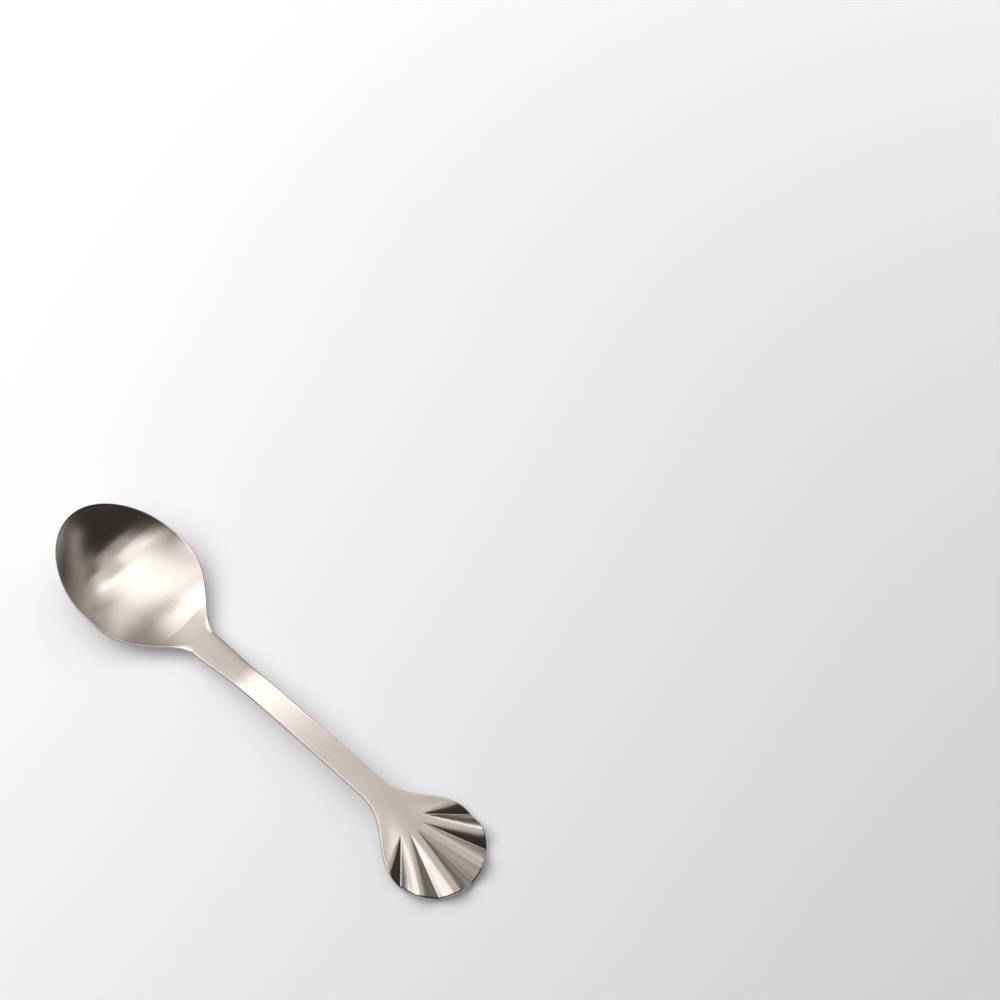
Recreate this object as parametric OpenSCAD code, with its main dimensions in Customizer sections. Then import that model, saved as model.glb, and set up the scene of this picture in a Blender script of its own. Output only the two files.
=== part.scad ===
// Sugar spoon of pressed sheet steel: an egg-shaped bowl, an arched strap handle
// and a fluted shell at the handle's end, each carried on from the last.
// X runs from the bowl's tip to the shell's rim, Y runs across and Z is up.
// The spoon lies on Z = 0, on the bowl's floor and the bottoms of the shell's grooves.

/* [Overall] */
// Length from the bowl's tip to the shell's rim
spoon_l = 140; // [120:1:180]
// Thickness of the sheet, measured straight down
sheet_t = 1.2; // [0.8:0.1:2]
// Chamfer along the sheet's cut edges
edge_c = 0.25; // [0.05:0.05:0.35]

/* [Bowl] */
// Length from the tip to the neck
bowl_l = 48; // [44:1:60]
// Width across the belly
bowl_w = 32.4; // [26:0.2:40]
// Depth of the hollow below the rim's lowest place
bowl_d = 6.2; // [4:0.2:9]
// Distance from the tip to the widest place
belly_x = 21; // [17:0.5:25]
// Distance from the tip to the deepest place
floor_x = 18; // [14:0.5:26]
// Distance from the tip to the rim's lowest place
dip_x = 34; // [24:1:42]
// Height of the tip's rim over the rim's lowest place
tip_lift = 5.5; // [0:0.1:8]
// Roundness of the tip: 2 is an ellipse, less is more pointed
tip_power = 1.8; // [1.5:0.05:2.4]
// Fullness of the heel: more keeps the bowl wide for longer
heel_power = 1.5; // [1:0.05:2]

/* [Tongue] */
// Distance from the tip to the line where the flat tongue of the handle ends in the bowl
tongue_x = 39.5; // [35:0.5:44]
// Length over which the hollow turns into the flat tongue
tongue_run = 5; // [2:0.5:8]
// Sharpness of the curl where the rim leaves the flat tongue: 2 is the bowl's own curve
tongue_power = 2.5; // [2:0.5:8]
// Angle of the hollow where it meets the tongue, at a shoulder if it is steeper than the climb
shoulder = 13.5; // [6:0.5:18]

/* [Handle] */
// Width at the neck
neck_w = 7.7; // [6:0.1:10]
// Width of the strap
strap_w = 6.5; // [5:0.1:9]
// Length over which the neck slims to the strap
neck_run = 16; // [8:1:24]
// Angle at which the handle climbs out of the bowl
climb = 7.6; // [6:0.1:12]
// Height of the arch at its crest, on the top face
crest_z = 6.8; // [5.5:0.1:10]
// Length from the crest to the shell
crest_run = 19; // [10:1:26]
// Fall of the arch from the crest to the shell
root_fall = 0.5; // [0:0.1:2]
// Fall of the arch from the crest back to the neck
neck_fall = 1.4; // [0.4:0.1:2.4]
// Height over which the bend between climb and arch is rounded
bend_soft = 0.4; // [0.1:0.05:1]

/* [Shell] */
// Length from the handle to the rim
shell_l = 34; // [29:1:40]
// Radius of the rim, measured at the crests of the ribs
rim_r = 12.75; // [10:0.05:16]
// Angle that the rim covers on each side of the middle
rim_angle = 102; // [92:0.5:108]
// Number of grooves
grooves = 5; // [3:2:9]
// Depth of the grooves at the rim
groove_d = 1.4; // [0.4:0.1:2.4]
// Depth of the notch that each groove cuts into the rim's outline
notch_d = 0.2; // [0:0.1:1.2]
// Length over which the ribs' lines run on from the handle before they fan out
focus_run = 9.5; // [6:0.5:14]
// Length over which the flanks leave the handle
flare_in = 9; // [4:0.5:12]
// Length over which the flanks run into the rim
flare_out = 7.5; // [4:0.5:9]
// Height of the dome above its rim, one flare_out in from the rim
dome_rise = 0.9; // [0:0.1:3]

/* [Smoothness] */
// Steps along the bowl from its tip to its belly
tip_steps = 16; // [8:1:24]
// Steps along the bowl from its belly to the neck
heel_steps = 20; // [8:1:30]
// Steps across the bowl
bowl_steps = 22; // [12:2:32]
// Steps along the handle
handle_steps = 48; // [24:4:72]
// Steps along the shell
shell_steps = 18; // [10:1:26]
// Steps across each groove
groove_steps = 10; // [6:2:14]

/* [Hidden] */

// Satin steel
steel = [0.71, 0.69, 0.66];

// Places along the spoon, from the tip
root_x = spoon_l - shell_l;
crest_x = root_x - crest_run;

// Slope of the handle as it leaves the bowl, and as it meets the shell
climb_slope = tan(climb);
root_slope = -2 * root_fall / crest_run;

// Half of the widths
belly_half = bowl_w / 2;
neck_half = neck_w / 2;
strap_half = strap_w / 2;

// Angle of the first section at the tip, seen from the belly, which leaves the tip a sliver flat
tip_start = 3;
// The edge's chamfer takes at most this share of the half width
chamfer_max_share = 0.7;
// Step for measuring how fast the outline widens
probe = edge_c / 10;
// Height of the ribs' top face at the rim
rib_z = sheet_t + groove_d;
// Share of the shell's length that stays plain before the grooves begin
plain_share = 0.36;
// Places across the shell as shares of its half width: the outermost groove, and the step between grooves
last_groove_share = 0.853;
groove_gap_share = 2 * last_groove_share / (grooves - 1);
// Share of the room beside a groove that its wall takes up at the rim
wall_room_share = 0.78;
groove_wall_share = wall_room_share * groove_gap_share / 2;

function clamp01(k) = min(1, max(0, k));
function ease(k) = pow(clamp01(k), 2) * (3 - 2 * clamp01(k));
function mix(a, b, k) = a + (b - a) * k;
function bezier(a, b, c, d, k) =
    a * pow(1 - k, 3) + b * 3 * k * pow(1 - k, 2) + c * 3 * k * k * (1 - k) + d * pow(k, 3);

// The lower of two heights, with the corner between them rounded
function soft_min(a, b, soft) = min(a, b) - pow(max(soft - abs(a - b), 0), 2) / (4 * soft);

// 0 from a place on, growing to 1 at the tip
function tip_share(x, from) = max(0, from - x) / from;

// Height of the bowl's rim, rising to the tip
function rim_z(x) = sheet_t + bowl_d + tip_lift * pow(tip_share(x, dip_x), 2);

// Height of the floor: up to the tip one way, and the other way up to the shoulder and on along the tongue
function floor_z(x) =
    let (heel_run = tongue_x - floor_x, along = min(max(x - floor_x, 0), heel_run))
    sheet_t + (rim_z(x) - sheet_t) * pow(tip_share(x, floor_x), 2)
    + tan(shoulder) * heel_run / 3 * pow(along / heel_run, 3)
    + climb_slope * max(0, x - tongue_x);

// Height of the handle's arch
function arch_z(x) = x < crest_x
    ? crest_z - neck_fall * pow((crest_x - x) / (crest_x - bowl_l), 2)
    : crest_z - root_fall * pow((x - crest_x) / crest_run, 2);

// Height of the top face along the middle of bowl and handle
function middle_z(x) = x < tongue_x ? floor_z(x) : soft_min(floor_z(x), arch_z(x), bend_soft);

// Half width of the bowl: an egg's round end, then a long taper that runs into the neck
function bowl_half(x) = x < belly_x
    ? belly_half * sqrt(1 - pow(tip_share(x, belly_x), tip_power))
    : mix(neck_half, belly_half, pow(cos(90 * pow((x - belly_x) / (bowl_l - belly_x), heel_power)), 2));

// Half width of the handle
function handle_half(x) = mix(neck_half, strap_half, ease((x - bowl_l) / neck_run));

// Height of the bowl's wall, from its floor to its rim, fading out at the neck
function wall_h(x) = (rim_z(x) - middle_z(x)) * (1 - ease((x - belly_x) / (bowl_l - belly_x)));

// Power of the wall's curve across the bowl: a hollow, then a flat tongue with curled edges
function wall_power(x) = mix(2, tongue_power, ease((x - tongue_x) / tongue_run + 1 / 2));

// How far the chamfer reaches in across the sheet, where the outline runs at a slant
function chamfer_in(half, slope) = min(edge_c * sqrt(1 + slope * slope), half * chamfer_max_share);

// Places across a piece: shares of the half width from -1 to 1, with both edges doubled
function across(steps) = concat([-1], [for (j = [0:steps]) 2 * j / steps - 1], [1]);

// One row of the sheet's top face, each point with a mark that is 1 on a cut edge
function cross_row(x, half, inset, steps, wall, power, cut) =
    let (places = across(steps), last = len(places) - 1)
    [for (j = [0:last])
        let (on_edge = j == 0 || j == last, y = places[j] * (on_edge ? half : half - inset))
        [x, y, middle_z(x) + wall * pow(abs(y / half), power), on_edge || cut ? 1 : 0]];

// Sections of the bowl: close together at the tip, then even steps to the neck
bowl_places = concat(
    [for (i = [0:tip_steps]) belly_x * (1 - cos(mix(tip_start, 90, i / tip_steps)))],
    [for (i = [1:heel_steps]) mix(belly_x, bowl_l, i / heel_steps)]);

bowl_rows = [for (x = bowl_places)
    let (half = bowl_half(x), slope = x < belly_x ? (bowl_half(x + probe) - half) / probe : 0)
    cross_row(x, half, chamfer_in(half, slope), bowl_steps, wall_h(x), wall_power(x), x == bowl_places[0])];

handle_rows = [for (i = [0:handle_steps])
    let (x = mix(bowl_l, root_x, i / handle_steps))
    cross_row(x, handle_half(x), edge_c, 1, 0, 1, false)];

// Distance from a place across the shell to the nearest groove, in widths of a groove's wall
function wall_away(v) =
    let (inside = min(max(v, -last_groove_share), last_groove_share) + last_groove_share)
    abs(v + last_groove_share - groove_gap_share * round(inside / groove_gap_share)) / groove_wall_share;

// Depth of a groove as a share of its full depth: sharp at the bottom, with an even slope up each wall
function groove_share(k, v) = max(0, clamp01((k - plain_share) / (1 - plain_share)) - wall_away(v));

// Outline of the rim, round its own centre, with a notch at each groove
function rim_point(v) = (rim_r - notch_d * groove_share(1, v)) * [cos(rim_angle * v), sin(rim_angle * v)];

// Places across the shell, with a line of points along each groove and along the middle of each rib
groove_stations = concat(
    [-1],
    [for (i = [0:2 * (grooves - 1)]) i * groove_gap_share / 2 - last_groove_share],
    [1]);
station_steps = groove_steps / 2;
shell_places = concat(
    [-1],
    [for (i = [0:len(groove_stations) - 2], j = [0:station_steps - 1])
        mix(groove_stations[i], groove_stations[i + 1], j / station_steps)],
    [1, 1]);

// Centre of the rim, placed so that the rim's foremost point makes up the spoon's length
rim_x = spoon_l - max([for (v = shell_places) rim_point(v).x]);

// 0 between the outermost grooves, growing to 1 at the flanks
function flank_share(v) = ease((abs(v) - last_groove_share) / (1 - last_groove_share));

// Direction in which a line reaches the rim: out of the fan's focus, but along the outline at the flanks
function heading(v) =
    let (end = [rim_x, 0] + rim_point(v), fan = atan2(end.y, end.x - root_x - focus_run))
    mix(fan, sign(v) * (rim_angle - 90), flank_share(v));

// A point of the shell's top face: k along its lines from the handle to the rim, v across
function shell_point(k, v, groove_v, edge) =
    let (
        end = [rim_x, 0] + rim_point(v),
        lead = mix(focus_run, flare_in, flank_share(v)),
        plan = bezier(
            [root_x, strap_half * v],
            [root_x + lead, strap_half * v * flank_share(v)],
            end - flare_out * [cos(heading(v)), sin(heading(v))],
            end, k),
        root_z = middle_z(root_x),
        dome = bezier(root_z, root_z + root_slope * lead, rib_z + dome_rise, rib_z, k))
    [plan.x, plan.y, dome - groove_d * groove_share(k, groove_v), edge];

// Shares of the shell's lines at which it has a row, the last two holding the rim's chamfer
rim_chamfer_share = edge_c / (3 * flare_out);
shell_shares = concat([for (i = [0:shell_steps]) (1 - rim_chamfer_share) * i / shell_steps], [1]);
rim_half_arc = rim_r * rim_angle * PI / 180;

shell_rows = [for (k = shell_shares)
    let (inset_share = edge_c / mix(strap_half, rim_half_arc, k), last = len(shell_places) - 1)
    [for (j = [0:last])
        let (on_edge = j == 0 || j == last, v = shell_places[j] * (on_edge ? 1 : 1 - inset_share))
        shell_point(k, v, shell_places[j], on_edge || k == 1 ? 1 : 0)]];

// Closed solid between a top face, given as rows of points, and its copy one thickness down
module pressed_sheet(rows) {
    n = len(rows) - 1;
    m = len(rows[0]) - 1;
    lower = (n + 1) * (m + 1);
    function id(i, j) = i * (m + 1) + j;
    function low(i, j) = lower + id(i, j);
    top_points = [for (row = rows, p = row) [p[0], p[1], p[2] - p[3] * edge_c]];
    low_points = [for (row = rows, p = row) [p[0], p[1], p[2] - sheet_t + p[3] * edge_c]];
    top_faces = [for (i = [0:n - 1], j = [0:m - 1]) each j < m / 2
        ? [[id(i, j), id(i, j + 1), id(i + 1, j + 1)], [id(i, j), id(i + 1, j + 1), id(i + 1, j)]]
        : [[id(i, j), id(i, j + 1), id(i + 1, j)], [id(i, j + 1), id(i + 1, j + 1), id(i + 1, j)]]];
    low_faces = [for (f = top_faces) [f[2] + lower, f[1] + lower, f[0] + lower]];
    side_faces = [for (i = [0:n - 1]) each [
        [id(i, 0), id(i + 1, 0), low(i + 1, 0)], [id(i, 0), low(i + 1, 0), low(i, 0)],
        [id(i + 1, m), id(i, m), low(i, m)], [id(i + 1, m), low(i, m), low(i + 1, m)]]];
    end_faces = [for (j = [0:m - 1]) each [
        [id(0, j + 1), id(0, j), low(0, j)], [id(0, j + 1), low(0, j), low(0, j + 1)],
        [id(n, j), id(n, j + 1), low(n, j + 1)], [id(n, j), low(n, j + 1), low(n, j)]]];
    translate([-spoon_l / 2, 0, 0])
        polyhedron(concat(top_points, low_points), concat(top_faces, low_faces, side_faces, end_faces));
}

// Egg-shaped bowl with the tongue of the handle running out on its floor
module bowl() {
    color(steel) pressed_sheet(bowl_rows);
}

// Flat strap that climbs out of the bowl, bends and runs over a low arch to the shell
module handle() {
    color(steel) pressed_sheet(handle_rows);
}

// Domed shell with ribs that fan out to a notched round rim
module shell_finial() {
    color(steel) pressed_sheet(shell_rows);
}

bowl();
handle();
shell_finial();
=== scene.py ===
# Sugar spoon in satin steel: three pressed pieces, their finish, a pale table and soft studio light.
import math
import bpy
import numpy as np
from mathutils import Matrix, Vector


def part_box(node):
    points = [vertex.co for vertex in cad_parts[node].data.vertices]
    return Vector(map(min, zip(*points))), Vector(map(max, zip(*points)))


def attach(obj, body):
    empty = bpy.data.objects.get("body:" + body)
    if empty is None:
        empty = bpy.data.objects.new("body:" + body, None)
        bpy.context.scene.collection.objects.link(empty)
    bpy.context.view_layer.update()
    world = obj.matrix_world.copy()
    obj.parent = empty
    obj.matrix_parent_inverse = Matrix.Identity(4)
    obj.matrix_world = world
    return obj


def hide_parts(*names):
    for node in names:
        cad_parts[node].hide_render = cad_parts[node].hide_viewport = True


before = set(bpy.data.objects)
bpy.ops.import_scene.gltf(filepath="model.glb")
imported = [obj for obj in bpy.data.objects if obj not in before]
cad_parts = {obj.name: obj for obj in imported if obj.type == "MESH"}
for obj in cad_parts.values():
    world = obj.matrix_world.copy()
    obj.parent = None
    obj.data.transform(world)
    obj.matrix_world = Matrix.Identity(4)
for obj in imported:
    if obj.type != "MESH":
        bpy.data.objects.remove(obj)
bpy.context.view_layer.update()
mm = 0.001
tiny = 1e-6   # keeps a division away from zero
print("frame:", ", ".join(sorted(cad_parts)))

# Places along the spoon in millimetres from the bowl's tip, and widths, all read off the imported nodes
tipX = -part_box("shell_finial")[1][0] / mm
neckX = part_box("bowl")[1][0] / mm - tipX
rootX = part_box("handle")[1][0] / mm - tipX
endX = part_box("shell_finial")[1][0] / mm - tipX
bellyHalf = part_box("bowl")[1][1] / mm
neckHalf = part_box("handle")[1][1] / mm

sheet = {
    "thick": 1.2,        # straight down
    "edge": 0.42,        # radius of the rounded cut edge
    "edgeSteps": 8,
    "pillow": 0.12,      # how far the face of the strap and flanks falls off to its edge
    "pillowReach": 2.4,  # and from how far in
    "wearReach": 1.4,    # how far from the edge the handling shine reaches
    "creaseAngle": 50,   # degrees from which a fold is shaded as a corner
}


# Slow start and slow end between 0 and 1: three squares less two cubes
def ease(k):
    k = np.clip(k, 0, 1)
    return k * k * (3 - 2 * k)


# From a to b by the share k
def mix(a, b, k):
    return a + (b - a) * k


# Cubic curve from a to d that leaves towards b and arrives from c
def bezier(a, b, c, d, k):
    return a * (1 - k) ** 3 + b * 3 * k * (1 - k) ** 2 + c * 3 * k * k * (1 - k) + d * k ** 3


# Distances in from the edge and how far the face has turned down there: even steps over a flat
# of the given length, then a quarter circle round the edge
def edgeProfile(length, steps):
    turn = np.linspace(0, math.pi / 2, sheet["edgeSteps"] + 1)[1:]
    flat = mix(length, sheet["edge"], np.linspace(0, 1, steps + 1))
    radius = np.full(flat.shape[:-1] + (1,), sheet["edge"])
    inset = np.concatenate([flat, radius * (1 - np.sin(turn))], -1)
    fall = np.concatenate([0 * flat, radius * (1 - np.cos(turn))], -1)
    return inset, fall


# Fall of the face beside its edge: a square that starts at the reach
def pillow(inset):
    return sheet["pillow"] * np.clip(1 - inset / sheet["pillowReach"], 0, 1) ** 2


# Closed sheet from a grid of top points: the top turned down at its edge, the same face one
# thickness lower turned up at its edge, and a wall all round between them
def pressedSheet(name, x, y, z, fall, wear, groove, tipLine=False):
    rows, cols = z.shape
    top = np.arange(rows * cols).reshape(rows, cols)
    if tipLine:
        top[0] = np.minimum(top[0], top[0, ::-1])   # both halves of the first line are the same points
    low = top + rows * cols

    # Four-sided faces from the numbers of their corners
    def quads(a, b, c, d):
        return np.stack([a.ravel(), b.ravel(), c.ravel(), d.ravel()], 1)

    # Faces between two lines of points
    def wall(a, b):
        return quads(a[:-1], a[1:], b[1:], b[:-1])

    faces = [
        quads(top[:-1, :-1], top[1:, :-1], top[1:, 1:], top[:-1, 1:]),
        quads(low[:-1, 1:], low[1:, 1:], low[1:, :-1], low[:-1, :-1]),
        wall(top[:, -1], low[:, -1]),
        wall(low[:, 0], top[:, 0]),
        wall(low[-1], top[-1]),
    ]
    if not tipLine:
        faces.append(wall(top[0], low[0]))
    used, faces = np.unique(np.concatenate(faces), return_inverse=True)
    faces = faces.reshape(-1, 4)
    upper = np.stack([x + tipX, y, z - fall], -1).reshape(-1, 3)
    lower = np.stack([x + tipX, y, z - sheet["thick"] + fall], -1).reshape(-1, 3)
    points = np.concatenate([upper, lower])[used] * mm

    mesh = bpy.data.meshes.new(name)
    mesh.from_pydata(points.tolist(), [], faces.tolist())
    mesh.polygons.foreach_set("use_smooth", np.ones(len(faces), bool))
    mesh.set_sharp_from_angle(angle=math.radians(sheet["creaseAngle"]))
    for key, values in (("wear", wear), ("groove", groove)):
        both = np.concatenate([values.ravel(), values.ravel()])[used]
        mesh.attributes.new(key, "FLOAT", "POINT").data.foreach_set("value", both.astype(np.float32))
    uv = points[faces.ravel(), :2] / mm
    mesh.uv_layers.new(name="brush").data.foreach_set("uv", uv.astype(np.float32).ravel())
    mesh.validate()
    piece = bpy.data.objects.new(name, mesh)
    bpy.context.scene.collection.objects.link(piece)
    print(name, len(points), "points", len(faces), "faces")
    return piece


# Bowl and handle
bowl = {
    "depth": 6.2, "bellyX": 21.0, "floorX": 18.0, "dipX": 34.0, "tipLift": 5.5, "tipPower": 1.8,
    "heelPower": 1.5, "tongueX": 39.5, "tongueRun": 5.0, "tonguePower": 2.5, "shoulder": 13.5,
    "poleX": 9.0,        # where the lines of the tip's mesh run together
    "tipSteps": 90, "heelSteps": 110, "acrossSteps": 60,
}
handle = {
    "strapW": 6.5, "neckRun": 16.0, "climb": 7.6, "crestZ": 6.8, "crestRun": 19.0,
    "rootFall": 0.5, "neckFall": 1.4, "bendSoft": 0.4,
    "steps": 260, "acrossSteps": 12,
}
climbSlope = math.tan(math.radians(handle["climb"]))
shoulderSlope = math.tan(math.radians(bowl["shoulder"]))
crestX = rootX - handle["crestRun"]
strapHalfW = handle["strapW"] / 2


# 0 from a place on, growing to 1 at the tip
def tipShare(x, place):
    return np.maximum(0, place - x) / place


# Height of the bowl's rim: level at the heel, rising as a square towards the tip
def rimHeight(x):
    return sheet["thick"] + bowl["depth"] + bowl["tipLift"] * tipShare(x, bowl["dipX"]) ** 2


# Height of the floor: a square up to the tip, a cube up to the shoulder, then the even climb of the tongue
def floorHeight(x):
    run = bowl["tongueX"] - bowl["floorX"]
    along = np.clip(x - bowl["floorX"], 0, run)
    rise = (rimHeight(x) - sheet["thick"]) * tipShare(x, bowl["floorX"]) ** 2
    heel = shoulderSlope * run / 3 * (along / run) ** 3
    return sheet["thick"] + rise + heel + climbSlope * np.maximum(0, x - bowl["tongueX"])


# Height of the arch: one parabola from the crest back to the neck, another from it to the shell
def archHeight(x):
    back = handle["neckFall"] * ((crestX - x) / (crestX - neckX)) ** 2
    fore = handle["rootFall"] * ((x - crestX) / handle["crestRun"]) ** 2
    return handle["crestZ"] - np.where(x < crestX, back, fore)


# Height along the middle: the lower of climb and arch, with the corner between them rounded
def middleHeight(x):
    climb, arch, soft = floorHeight(x), archHeight(x), handle["bendSoft"]
    bend = np.minimum(climb, arch) - np.maximum(soft - abs(climb - arch), 0) ** 2 / (4 * soft)
    return np.where(x < bowl["tongueX"], climb, bend)


# Half width: a rounded end up to the belly, then a squared cosine that runs into the neck,
# then an easy slimming to the strap
def halfWidth(x):
    heel = np.clip((x - bowl["bellyX"]) / (neckX - bowl["bellyX"]), 0, 1)
    tip = bellyHalf * np.sqrt(np.clip(1 - tipShare(x, bowl["bellyX"]) ** bowl["tipPower"], 0, 1))
    taper = mix(neckHalf, bellyHalf, np.cos(math.pi / 2 * heel ** bowl["heelPower"]) ** 2)
    strap = mix(neckHalf, strapHalfW, ease((x - neckX) / handle["neckRun"]))
    return np.where(x < bowl["bellyX"], tip, np.where(x < neckX, taper, strap))


# Height of the bowl's face: the floor and a wall that grows with a power of the share of the
# half width, a square in the hollow and a steeper curl beside the flat tongue
def bowlHeight(x, y):
    share = np.clip(abs(y) / np.maximum(halfWidth(x), tiny), 0, 1)
    fade = 1 - ease((x - bowl["bellyX"]) / (neckX - bowl["bellyX"]))
    power = mix(2, bowl["tonguePower"], ease((x - bowl["tongueX"]) / bowl["tongueRun"] + 0.5))
    return middleHeight(x) + (rimHeight(x) - middleHeight(x)) * fade * share ** power


# Both halves of a piece from one: the far half is the near half mirrored across the middle line
def bothHalves(values, sign):
    return np.concatenate([sign * values[:, :0:-1], values], 1)


# Lines that run from the middle of the bowl out to its rim, close together round the tip
def makeBowl():
    turn = np.linspace(0, math.pi / 2, bowl["tipSteps"] + 1)
    rimX = np.concatenate([
        bowl["bellyX"] * (1 - np.cos(turn)),
        np.linspace(bowl["bellyX"], neckX, bowl["heelSteps"] + 1)[1:],
    ])[:, None]
    rimY = halfWidth(rimX)
    midX = np.where(rimX < bowl["bellyX"], mix(bowl["poleX"], bowl["bellyX"], rimX / bowl["bellyX"]), rimX)
    length = np.hypot(rimX - midX, rimY)
    inset, fall = edgeProfile(length, bowl["acrossSteps"])
    share = 1 - inset / length
    x, y = mix(midX, rimX, share), rimY * share
    fall = fall + pillow(inset) * ease((x - bowl["tongueX"]) / (neckX - bowl["tongueX"]))
    wear = np.clip(1 - inset / sheet["wearReach"], 0, 1)
    x, y, fall, wear = bothHalves(x, 1), bothHalves(y, -1), bothHalves(fall, 1), bothHalves(wear, 1)
    return pressedSheet("spoonBowl", x, y, bowlHeight(x, y), fall, wear, np.zeros_like(x), tipLine=True)


# Cross lines of the strap from the neck to the shell
def makeHandle():
    x = np.linspace(neckX, rootX, handle["steps"] + 1)[:, None]
    half = halfWidth(x)
    inset, fall = edgeProfile(half, handle["acrossSteps"])
    y = half - inset
    fall = fall + pillow(inset)
    wear = np.clip(1 - inset / sheet["wearReach"], 0, 1)
    y, fall, wear = bothHalves(y, -1), bothHalves(fall, 1), bothHalves(wear, 1)
    x = x + 0 * y
    return pressedSheet("spoonHandle", x, y, middleHeight(x), fall, wear, np.zeros_like(x))


# Shell
shell = {
    "rimR": 12.75, "rimAngle": 102.0, "notchD": 0.2,
    "focusRun": 10.5, "flareIn": 9.0, "flareOut": 7.5, "domeRise": 1.0,
    "grooveAngles": (-87.0, -41.5, 0.0, 41.5, 87.0),
    "grooveD": 1.7, "grooveStart": 5.2, "wallW": 3.9, "bottomR": 0.2,
    "growth": (1e-4, 1.1),     # least and most share of a groove's depth
    "ribSoft": 0.06,           # softness of a wall's turn into the rib
    "ribSoftRun": 0.25,        # share of the depth at which it is full
    "ribRound": 0.5,           # steepness of a wall at its top, where 1 is a straight wall
    "domePowers": (6, 3, 8),   # highest along, across, and both together
    "domeRun": 0.3,            # share along the lines after which the face is all dome
    "fitSteps": (161, 241),    # points along and across to which the dome is fitted
    "lineLength": 22.5,        # of the lines, about, for the steps round the rim
    "edgeBand": (0.85, 0.8),   # shares along and across from which the edge may be close
    "crowding": 1.4,           # power that draws the columns into the grooves
    "steps": 120, "wallSteps": 24, "outlineSteps": 900,
}
rimAngle = math.radians(shell["rimAngle"])
grooveV = np.array(shell["grooveAngles"]) / shell["rimAngle"]
lastGroove = grooveV[-1]
focusX = rootX + shell["focusRun"]


# Outline of the rim: an arc with a shallow notch at each groove, as wide as the groove's walls
def rimLine(v):
    away = abs(v[..., None] - grooveV).min(-1) * rimAngle * shell["rimR"] / shell["wallW"]
    radius = shell["rimR"] - shell["notchD"] * np.maximum(0, 1 - away)
    return radius * np.cos(rimAngle * v), radius * np.sin(rimAngle * v)


allV = np.linspace(-1, 1, shell["outlineSteps"] + 1)
rimCentreX = endX - rimLine(allV)[0].max()


# Depth of the grooves as a share. Each runs straight from the focus to its place on the rim and gets
# deeper evenly from its start; its walls rise from a slightly rounded bottom, lean out as they rise,
# widen with the groove's depth and turn softly into the ribs.
def grooveShare(x, y):
    reach, angle = np.hypot(x - focusX, y), np.arctan2(y, x - focusX)
    deepest = np.zeros_like(x)
    for v in grooveV:
        endY = shell["rimR"] * math.sin(rimAngle * v)
        endRun = rimCentreX + shell["rimR"] * math.cos(rimAngle * v) - focusX
        off = angle - math.atan2(endY, endRun)
        along, aside = reach * np.cos(off), reach * np.sin(off)
        aside = np.hypot(aside, shell["bottomR"]) - shell["bottomR"]
        run = math.hypot(endRun, endY) - shell["grooveStart"]
        grown = np.clip((along - shell["grooveStart"]) / run, *shell["growth"])
        soft = shell["ribSoft"] * np.clip(grown / shell["ribSoftRun"], 0, 1)
        wall = soft * np.logaddexp(0, (grown - aside / shell["wallW"]) / soft)
        deepest = np.maximum(deepest, wall * mix(shell["ribRound"], 1, wall / grown))
    return deepest


# Lines of the shell: k runs along them from the handle to the rim, v across them. They head for a
# focus and fan out of it to the rim; at the flanks they leave the handle along its sides and reach
# the rim along it. The height is a domed curve from the handle's end down to the rim.
def shellLines(k, v):
    ex, ey = rimLine(v)
    ex = ex + rimCentreX
    flank = ease((abs(v) - lastGroove) / (1 - lastGroove))
    fan = np.arctan2(ey, ex - focusX)
    heading = mix(fan, np.sign(v) * (rimAngle - math.pi / 2), flank)
    lead = mix(shell["focusRun"], shell["flareIn"], flank)
    x = bezier(rootX, rootX + lead, ex - shell["flareOut"] * np.cos(heading), ex, k)
    y = bezier(strapHalfW * v, strapHalfW * v * flank, ey - shell["flareOut"] * np.sin(heading), ey, k)
    rootZ = float(middleHeight(np.array(rootX)))
    rootSlope = -2 * handle["rootFall"] / handle["crestRun"]
    ribZ = sheet["thick"] + shell["grooveD"]
    return x, y, bezier(rootZ, rootZ + rootSlope * lead, ribZ + shell["domeRise"], ribZ, k)


# Powers of the share along the shell times powers of the squared share across it
def domeTerms(x, y):
    along, across = (x - rootX) / (endX - rootX), (y / shell["rimR"]) ** 2
    most, mostAcross, mostTogether = shell["domePowers"]
    terms = [
        along ** i * across ** j
        for i in range(most + 1) for j in range(mostAcross + 1) if i + 2 * j <= mostTogether
    ]
    return np.stack(terms, -1)


stepsAlong, stepsAcross = shell["fitSteps"]
gridK, gridV = np.meshgrid(np.linspace(0, 1, stepsAlong), np.linspace(-1, 1, stepsAcross))
gridX, gridY, gridZ = shellLines(gridK, gridV)
gridTerms = domeTerms(gridX, gridY)
domeShares = np.linalg.lstsq(gridTerms.reshape(gridX.size, -1), gridZ.ravel(), rcond=None)[0]


# Point of the shell's face: the lines near the handle, then the smooth dome that fits them all best,
# less the grooves
def shellFace(k, v):
    x, y, z = shellLines(k, v)
    dome = mix(z, domeTerms(x, y) @ domeShares, ease(k / shell["domeRun"]))
    depth = grooveShare(x, y)
    return x, y, dome - shell["grooveD"] * depth, depth


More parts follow.
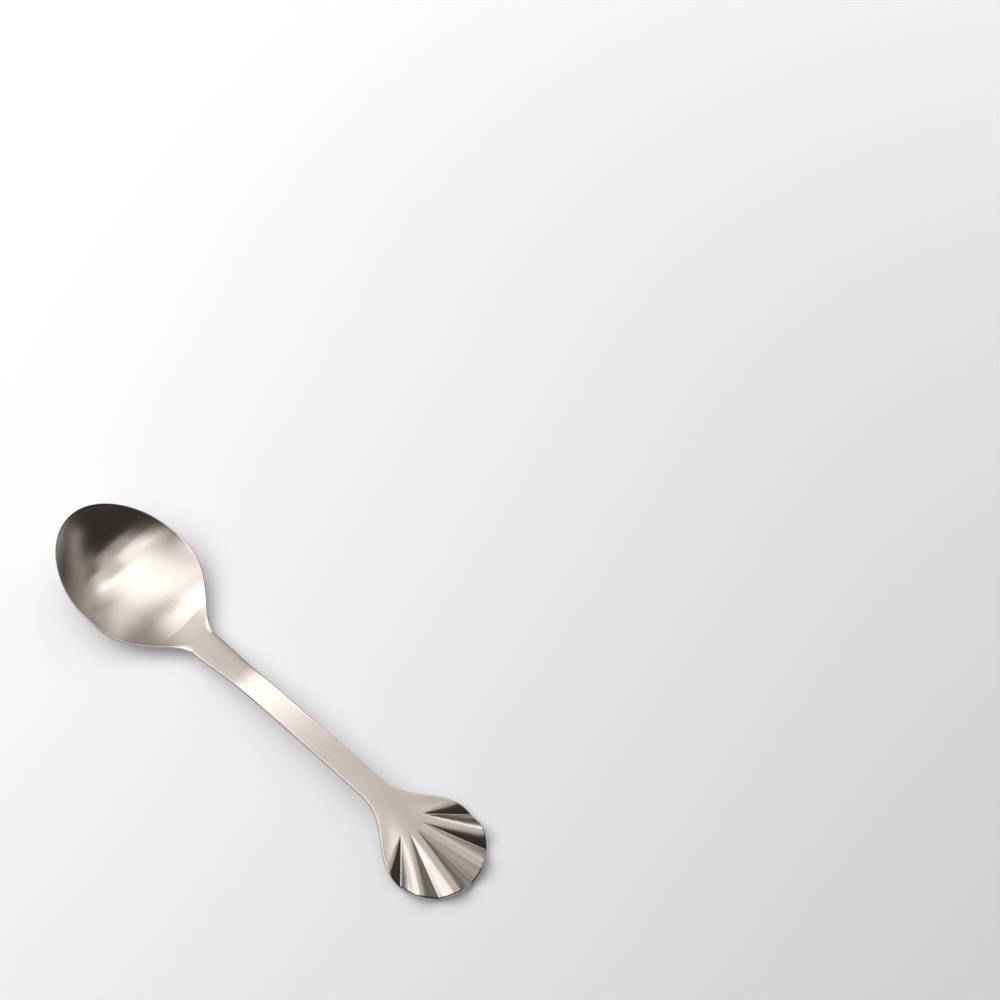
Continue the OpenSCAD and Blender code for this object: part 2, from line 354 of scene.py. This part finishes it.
# Rows from the handle to the rim and columns across, closer together in the grooves. The edge is
# rounded by the distance in plan from the shell's outline, and the fall beside the flanks fades out
# over the outer half.
def makeShell():
    inset = edgeProfile(np.array([shell["lineLength"]]), shell["steps"])[0]
    k = 1 - inset.reshape(-1, 1) / shell["lineLength"]
    ribs = np.concatenate([[-1], (grooveV[1:] + grooveV[:-1]) / 2, [1]])
    near = np.linspace(0, 1, shell["wallSteps"] + 1) ** shell["crowding"]
    left = grooveV[:, None] + near[:0:-1] * (ribs[:-1] - grooveV)[:, None]
    right = grooveV[:, None] + near[:-1] * (ribs[1:] - grooveV)[:, None]
    face = np.append(np.concatenate([left, right], 1).ravel(), 1)[None, :]
    edgeShare = sheet["edge"] / mix(strapHalfW, shell["rimR"] * rimAngle, k)
    turn = np.linspace(0, math.pi / 2, sheet["edgeSteps"] + 1)[1:]
    sideV = 1 - edgeShare * (1 - np.sin(turn))
    v = np.concatenate([-sideV[:, ::-1], face * (1 - edgeShare), sideV], 1)
    k = k + 0 * v
    x, y, z, depth = shellFace(k, v)

    line = np.linspace(0, 1, shell["outlineSteps"])
    flankX, flankY = shellFace(line, np.ones_like(line))[:2]
    arcX, arcY = rimLine(allV)
    outX = np.concatenate([flankX, flankX, arcX + rimCentreX])
    outY = np.concatenate([flankY, -flankY, arcY])
    distance = np.full(x.shape, np.inf)
    nearK, nearV = shell["edgeBand"]
    band = (k > nearK) | (abs(v) > nearV)
    gap = np.hypot(x[band][:, None] - outX[None, :], y[band][:, None] - outY[None, :])
    distance[band] = gap.min(1)
    into = np.clip(1 - distance / sheet["edge"], 0, 1)
    fall = sheet["edge"] * (1 - np.sqrt(1 - into ** 2))
    fall = fall + pillow(np.interp(x, flankX, flankY) - abs(y)) * (1 - ease(2 * k - 1))
    wear = np.clip(1 - distance / sheet["wearReach"], 0, 1)
    return pressedSheet("spoonShell", x, y, z, fall, wear, depth)


# Satin steel: brushed along the spoon, so that reflections smear across it
finishes = {
    # roughness at the tip's end and at the shell's end of the piece, so that no seam shows
    "bowl_satin": {"rough": (0.245, 0.245), "smear": 0.80, "lines": 0.014, "smudge": 0.015},
    "handle_brushed": {"rough": (0.245, 0.23), "smear": 0.80, "lines": 0.014, "smudge": 0.015},
    "shell_polished": {"rough": (0.23, 0.18), "smear": 0.80, "lines": 0.014, "smudge": 0.015},
}
steelColour = (0.514, 0.463, 0.426)
grain = {
    "length": 9.0,       # of one brush stroke
    "width": 0.32,
    "octaves": 2,
    "bump": 0.014,
    "shade": (0.96, 1.03),
    "smearTurn": 0.25,   # a quarter turn, so across the strokes
}
smudge = {
    "size": (11.0, 6.6, 11.0),  # of the soft patches left by handling
    "octaves": 3,
    "shade": (0.98, 1.015),
}
# Rubbed edges that are smoother, and painted shade that darkens the bottoms of the grooves
rubbed = {
    "edgeShine": 0.06,    # how much smoother the edge is
    "paintedGrooveShade": 0.12,  # painted shade: how much darker the bottom of a groove is
    "paintedShadePower": 4,     # how far down that painted shade starts
}
noiseSpan = (0.25, 0.75)  # where nearly all of a noise lies


# Metal whose roughness, colour and bump follow strokes along the spoon, patches left by handling, the
# distance from the edge and the depth of the grooves, the last as painted shade in the colour
def satinSteel(slot, node):
    look = finishes[slot]
    material = bpy.data.materials.new(slot)
    material.use_nodes = True
    nodes, links = material.node_tree.nodes, material.node_tree.links
    steel = nodes["Principled BSDF"]
    steel.inputs["Metallic"].default_value = 1
    steel.inputs["Anisotropic"].default_value = look["smear"]
    steel.inputs["Anisotropic Rotation"].default_value = grain["smearTurn"]

    place = nodes.new("ShaderNodeTexCoord")

    # Noise of a size in millimetres along each axis, where 0 keeps it the same along that axis
    def noise(size, octaves):
        stretch = nodes.new("ShaderNodeMapping")
        stretch.inputs["Scale"].default_value = [1 / (s * mm) if s else 0 for s in size]
        texture = nodes.new("ShaderNodeTexNoise")
        texture.inputs["Scale"].default_value = 1
        texture.inputs["Detail"].default_value = octaves
        links.new(place.outputs["Object"], stretch.inputs["Vector"])
        links.new(stretch.outputs["Vector"], texture.inputs["Vector"])
        return texture.outputs["Fac"]

    # A value that goes from low to high while another goes through its span
    def remap(value, low, high, span=noiseSpan):
        spread = nodes.new("ShaderNodeMapRange")
        spread.inputs["From Min"].default_value, spread.inputs["From Max"].default_value = span
        spread.inputs["To Min"].default_value = low
        spread.inputs["To Max"].default_value = high
        links.new(value, spread.inputs["Value"])
        return spread.outputs["Result"]

    # Two numbers or outputs joined by one operation
    def join(kind, a, b):
        step = nodes.new("ShaderNodeMath")
        step.operation = kind
        for socket, value in zip(step.inputs, (a, b)):
            if isinstance(value, (int, float)):
                socket.default_value = value
            else:
                links.new(value, socket)
        return step.outputs["Value"]

    # Value that the mesh holds at each point
    def attribute(name):
        held = nodes.new("ShaderNodeAttribute")
        held.attribute_name = name
        return held.outputs["Fac"]

    lines = noise((grain["length"], grain["width"], 0), grain["octaves"])
    smudges = noise(smudge["size"], smudge["octaves"])
    wear, groove = attribute("wear"), attribute("groove")

    # Roughness: from end to end of the piece, rougher along the strokes, shinier where the edge is rubbed
    along = nodes.new("ShaderNodeSeparateXYZ")
    links.new(place.outputs["Object"], along.inputs["Vector"])
    ends = [corner[0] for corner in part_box(node)]
    rough = join("ADD", remap(along.outputs["X"], *look["rough"], ends),
                 remap(lines, -look["lines"], look["lines"]))
    rough = join("ADD", rough, remap(smudges, -look["smudge"], look["smudge"]))
    rough = join("SUBTRACT", rough, join("MULTIPLY", wear, rubbed["edgeShine"]))
    links.new(rough, steel.inputs["Roughness"])

    # Colour: warm steel, a little darker in the strokes, with painted shade in the bottoms of the grooves
    shade = join("MULTIPLY", remap(lines, *grain["shade"]), remap(smudges, *smudge["shade"]))
    # Painted shade: the colour darkens towards the bottom of each groove, by a power of its depth
    deep = join("POWER", groove, rubbed["paintedShadePower"])
    shade = join("SUBTRACT", shade, join("MULTIPLY", deep, rubbed["paintedGrooveShade"]))
    tone = nodes.new("ShaderNodeMix")
    tone.data_type = "RGBA"
    tone.inputs["A"].default_value = (0, 0, 0, 1)
    tone.inputs["B"].default_value = (*steelColour, 1)
    tone.clamp_factor = False
    links.new(shade, tone.inputs["Factor"])
    links.new(tone.outputs["Result"], steel.inputs["Base Color"])

    bump = nodes.new("ShaderNodeBump")
    bump.inputs["Strength"].default_value = grain["bump"]
    bump.inputs["Distance"].default_value = grain["width"] * mm
    links.new(lines, bump.inputs["Height"])
    links.new(bump.outputs["Normal"], steel.inputs["Normal"])

    tangent = nodes.new("ShaderNodeTangent")
    tangent.direction_type = "UV_MAP"
    tangent.uv_map = "brush"
    links.new(tangent.outputs["Tangent"], steel.inputs["Tangent"])
    return material


for make, node, slot in (
    (makeBowl, "bowl", "bowl_satin"),
    (makeHandle, "handle", "handle_brushed"),
    (makeShell, "shell_finial", "shell_polished"),
):
    piece = make()
    piece.data.materials.append(satinSteel(slot, node))
    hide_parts(node)
    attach(piece, "root")
print("pieces dressed")

# Camera
view = {
    "target": (3.6, 81.65, 0.0),  # point of the table in the middle of the frame
    "azimuth": 44.3, "elevation": 61.49, "roll": -1.91, "distance": 611.63, "lens": 84.28, "sensor": 36,
}
azimuth, elevation = math.radians(view["azimuth"]), math.radians(view["elevation"])
east = Vector((math.cos(azimuth), math.sin(azimuth), 0))    # right in the frame, along the table
north = Vector((-math.sin(azimuth), math.cos(azimuth), 0))  # away from the camera, along the table
up = Vector((0, 0, 1))
back = up * math.sin(elevation) - north * math.cos(elevation)
camera = bpy.data.objects.new("camera", bpy.data.cameras.new("camera"))
camera.data.lens = view["lens"]
camera.data.sensor_width = view["sensor"]
camera.location = (Vector(view["target"]) + back * view["distance"]) * mm
camera.rotation_euler = (
    back.to_track_quat("Z", "Y").to_matrix() @ Matrix.Rotation(math.radians(view["roll"]), 3, "Z")
).to_euler()
bpy.context.scene.collection.objects.link(camera)
bpy.context.scene.camera = camera

# Table
table = {
    "size": 12.0, "colour": (0.866, 0.866, 0.895), "gap": 0.05,
    "lift": 0.09, "near": 0.13,     # glow beside the spoon, and how far that reaches in metres
    "farLift": 0.80, "far": 0.85,   # glow far away, and where that begins
}


# Level square under the spoon. The camera and the steel also see a lift, which lights nothing and
# grows smoothly from near the spoon to far away
def makeTable():
    half = table["size"] / 2
    mesh = bpy.data.meshes.new("table")
    z = -table["gap"] * mm
    corners = [(-half, -half, z), (half, -half, z), (half, half, z), (-half, half, z)]
    mesh.from_pydata(corners, [], [(0, 1, 2, 3)])
    floor = bpy.data.objects.new("table", mesh)
    bpy.context.scene.collection.objects.link(floor)
    material = bpy.data.materials.new("paleTable")
    material.use_nodes = True
    nodes, links = material.node_tree.nodes, material.node_tree.links
    nodes.remove(nodes["Principled BSDF"])
    matte, glow = nodes.new("ShaderNodeBsdfDiffuse"), nodes.new("ShaderNodeEmission")
    total = nodes.new("ShaderNodeAddShader")
    matte.inputs["Color"].default_value = (*table["colour"], 1)
    rays = nodes.new("ShaderNodeLightPath")
    first, seen, strength = (nodes.new("ShaderNodeMath") for step in range(3))
    first.operation = seen.operation = "MAXIMUM"
    links.new(rays.outputs["Is Camera Ray"], first.inputs[0])
    links.new(rays.outputs["Is Glossy Ray"], first.inputs[1])
    links.new(first.outputs[0], seen.inputs[0])
    links.new(rays.outputs["Is Transmission Ray"], seen.inputs[1])
    strength.operation = "MULTIPLY"
    place, away, lift = (nodes.new("ShaderNode" + kind) for kind in ("TexCoord", "VectorMath", "MapRange"))
    away.operation = "LENGTH"
    lift.interpolation_type = "SMOOTHSTEP"
    reach = {"From Min": "near", "From Max": "far", "To Min": "lift", "To Max": "farLift"}
    for socket, key in reach.items():
        lift.inputs[socket].default_value = table[key]
    links.new(place.outputs["Object"], away.inputs[0])
    links.new(away.outputs["Value"], lift.inputs["Value"])
    links.new(seen.outputs[0], strength.inputs[0])
    links.new(lift.outputs["Result"], strength.inputs[1])
    links.new(strength.outputs[0], glow.inputs["Strength"])
    links.new(matte.outputs[0], total.inputs[0])
    links.new(glow.outputs[0], total.inputs[1])
    links.new(total.outputs[0], nodes["Material Output"].inputs["Surface"])
    mesh.materials.append(material)


makeTable()

# Lamps: soft boxes round the table, placed east and north of the middle of the bowl, in metres
studio = {
    "middleX": -45.0,  # of the bowl, in millimetres
    "apart": 0.001,    # each lamp hangs that much over the last, or level lamps would hide each other
    "room": (0.055, 0.049, 0.046),
}
levelLamp = {"height": 0.45, "turn": 46}   # degrees from east towards north to its long side
lamps = {
    "overhead": {"at": (-0.112, 0.178), "size": (0.97, 0.218), "soft": 0.07, "glow": 2.1},
    "northEast": {"at": (0.277, 0.580), "size": (0.29, 0.218), "soft": 0.07, "glow": 2.8},
    "westPanel": {"at": (-0.599, 0.183), "size": (0.60, 0.555), "soft": 0.07, "glow": 3.2},
    "westFill": {"at": (-0.337, 0.486), "size": (0.34, 0.51), "soft": 0.07, "glow": 1.9},
    "southPanel": {"at": (-0.251, -0.209), "size": (0.62, 0.26), "soft": 0.07, "glow": 1.9},
    "southEast": {"at": (-0.101, -0.320), "size": (0.50, 0.30), "soft": 0.10, "glow": 0.7},
    "southWest": {"at": (-0.525, -0.292), "size": (0.45, 0.35), "soft": 0.10, "glow": 0.9},
    "fill": {"at": (0.123, 0.041), "size": (0.45, 0.46), "soft": 0.08, "glow": 0.55},
    "northFill": {"at": (0.353, 0.423), "size": (0.57, 0.25), "soft": 0.07, "glow": 0.88},
    "eastFill": {"at": (0.64, 0.28), "size": (1.04, 0.58), "turn": 50, "soft": 0.26, "glow": 0.22},
    "ceiling": {
        "at": (0.208, 0.752), "height": 0.60, "size": (1.90, 1.05), "turn": 61, "soft": 0.20, "glow": 0.38,
    },
    "eastPanel": {   # without a turn, so it faces the bowl
        "at": (0.75, 0.28), "height": 0.26, "size": (1.90, 0.50), "turn": None, "soft": 0.24, "glow": 0.52,
    },
}
bowlMiddle = Vector((studio["middleX"] * mm, 0, 0))


# Soft box: full glow in the middle, easing out to nothing along the edges. A place across the lamp is
# folded at the middle, so that it counts from the nearer edge
def softBox(light, soft):
    middle = 0.5
    light.use_nodes = True
    nodes, links = light.node_tree.nodes, light.node_tree.links
    place, split, both = (nodes.new("ShaderNode" + kind) for kind in ("NewGeometry", "SeparateXYZ", "Math"))
    both.operation = "MULTIPLY"
    links.new(place.outputs["Parametric"], split.inputs[0])
    for side, length in enumerate((light.size, light.size_y)):
        edge, fade = nodes.new("ShaderNodeMath"), nodes.new("ShaderNodeMapRange")
        edge.operation = "PINGPONG"
        edge.inputs[1].default_value = middle
        fade.interpolation_type = "SMOOTHSTEP"
        fade.inputs["From Max"].default_value = soft / length
        links.new(split.outputs[side], edge.inputs[0])
        links.new(edge.outputs[0], fade.inputs["Value"])
        links.new(fade.outputs["Result"], both.inputs[side])
    links.new(both.outputs[0], nodes["Emission"].inputs["Strength"])


# Lamp whose power is its glow times pi times its area, level or facing the bowl
def makeLamp(name, lamp, raised):
    light = bpy.data.lights.new(name, "AREA")
    light.shape = "RECTANGLE"
    length, width = lamp["size"]
    light.size, light.size_y = length, width
    light.energy = lamp["glow"] * math.pi * length * width
    softBox(light, lamp["soft"])
    holder = bpy.data.objects.new(name, light)
    eastward, northward = lamp["at"]
    holder.location = bowlMiddle + east * eastward + north * northward + up * (lamp["height"] + raised)
    if lamp["turn"] is None:
        holder.rotation_euler = (holder.location - bowlMiddle).to_track_quat("Z", "Y").to_euler()
    else:
        holder.rotation_euler = (0, 0, azimuth + math.radians(lamp["turn"]))
    bpy.context.scene.collection.objects.link(holder)


for step, (name, lamp) in enumerate(lamps.items()):
    makeLamp(name, {**levelLamp, **lamp}, step * studio["apart"])

world = bpy.data.worlds.new("studio")
world.use_nodes = True
world.node_tree.nodes["Background"].inputs["Color"].default_value = (*studio["room"], 1)
bpy.context.scene.world = world
bpy.context.scene.view_settings.view_transform = "Standard"
print("camera, table and lamps set")
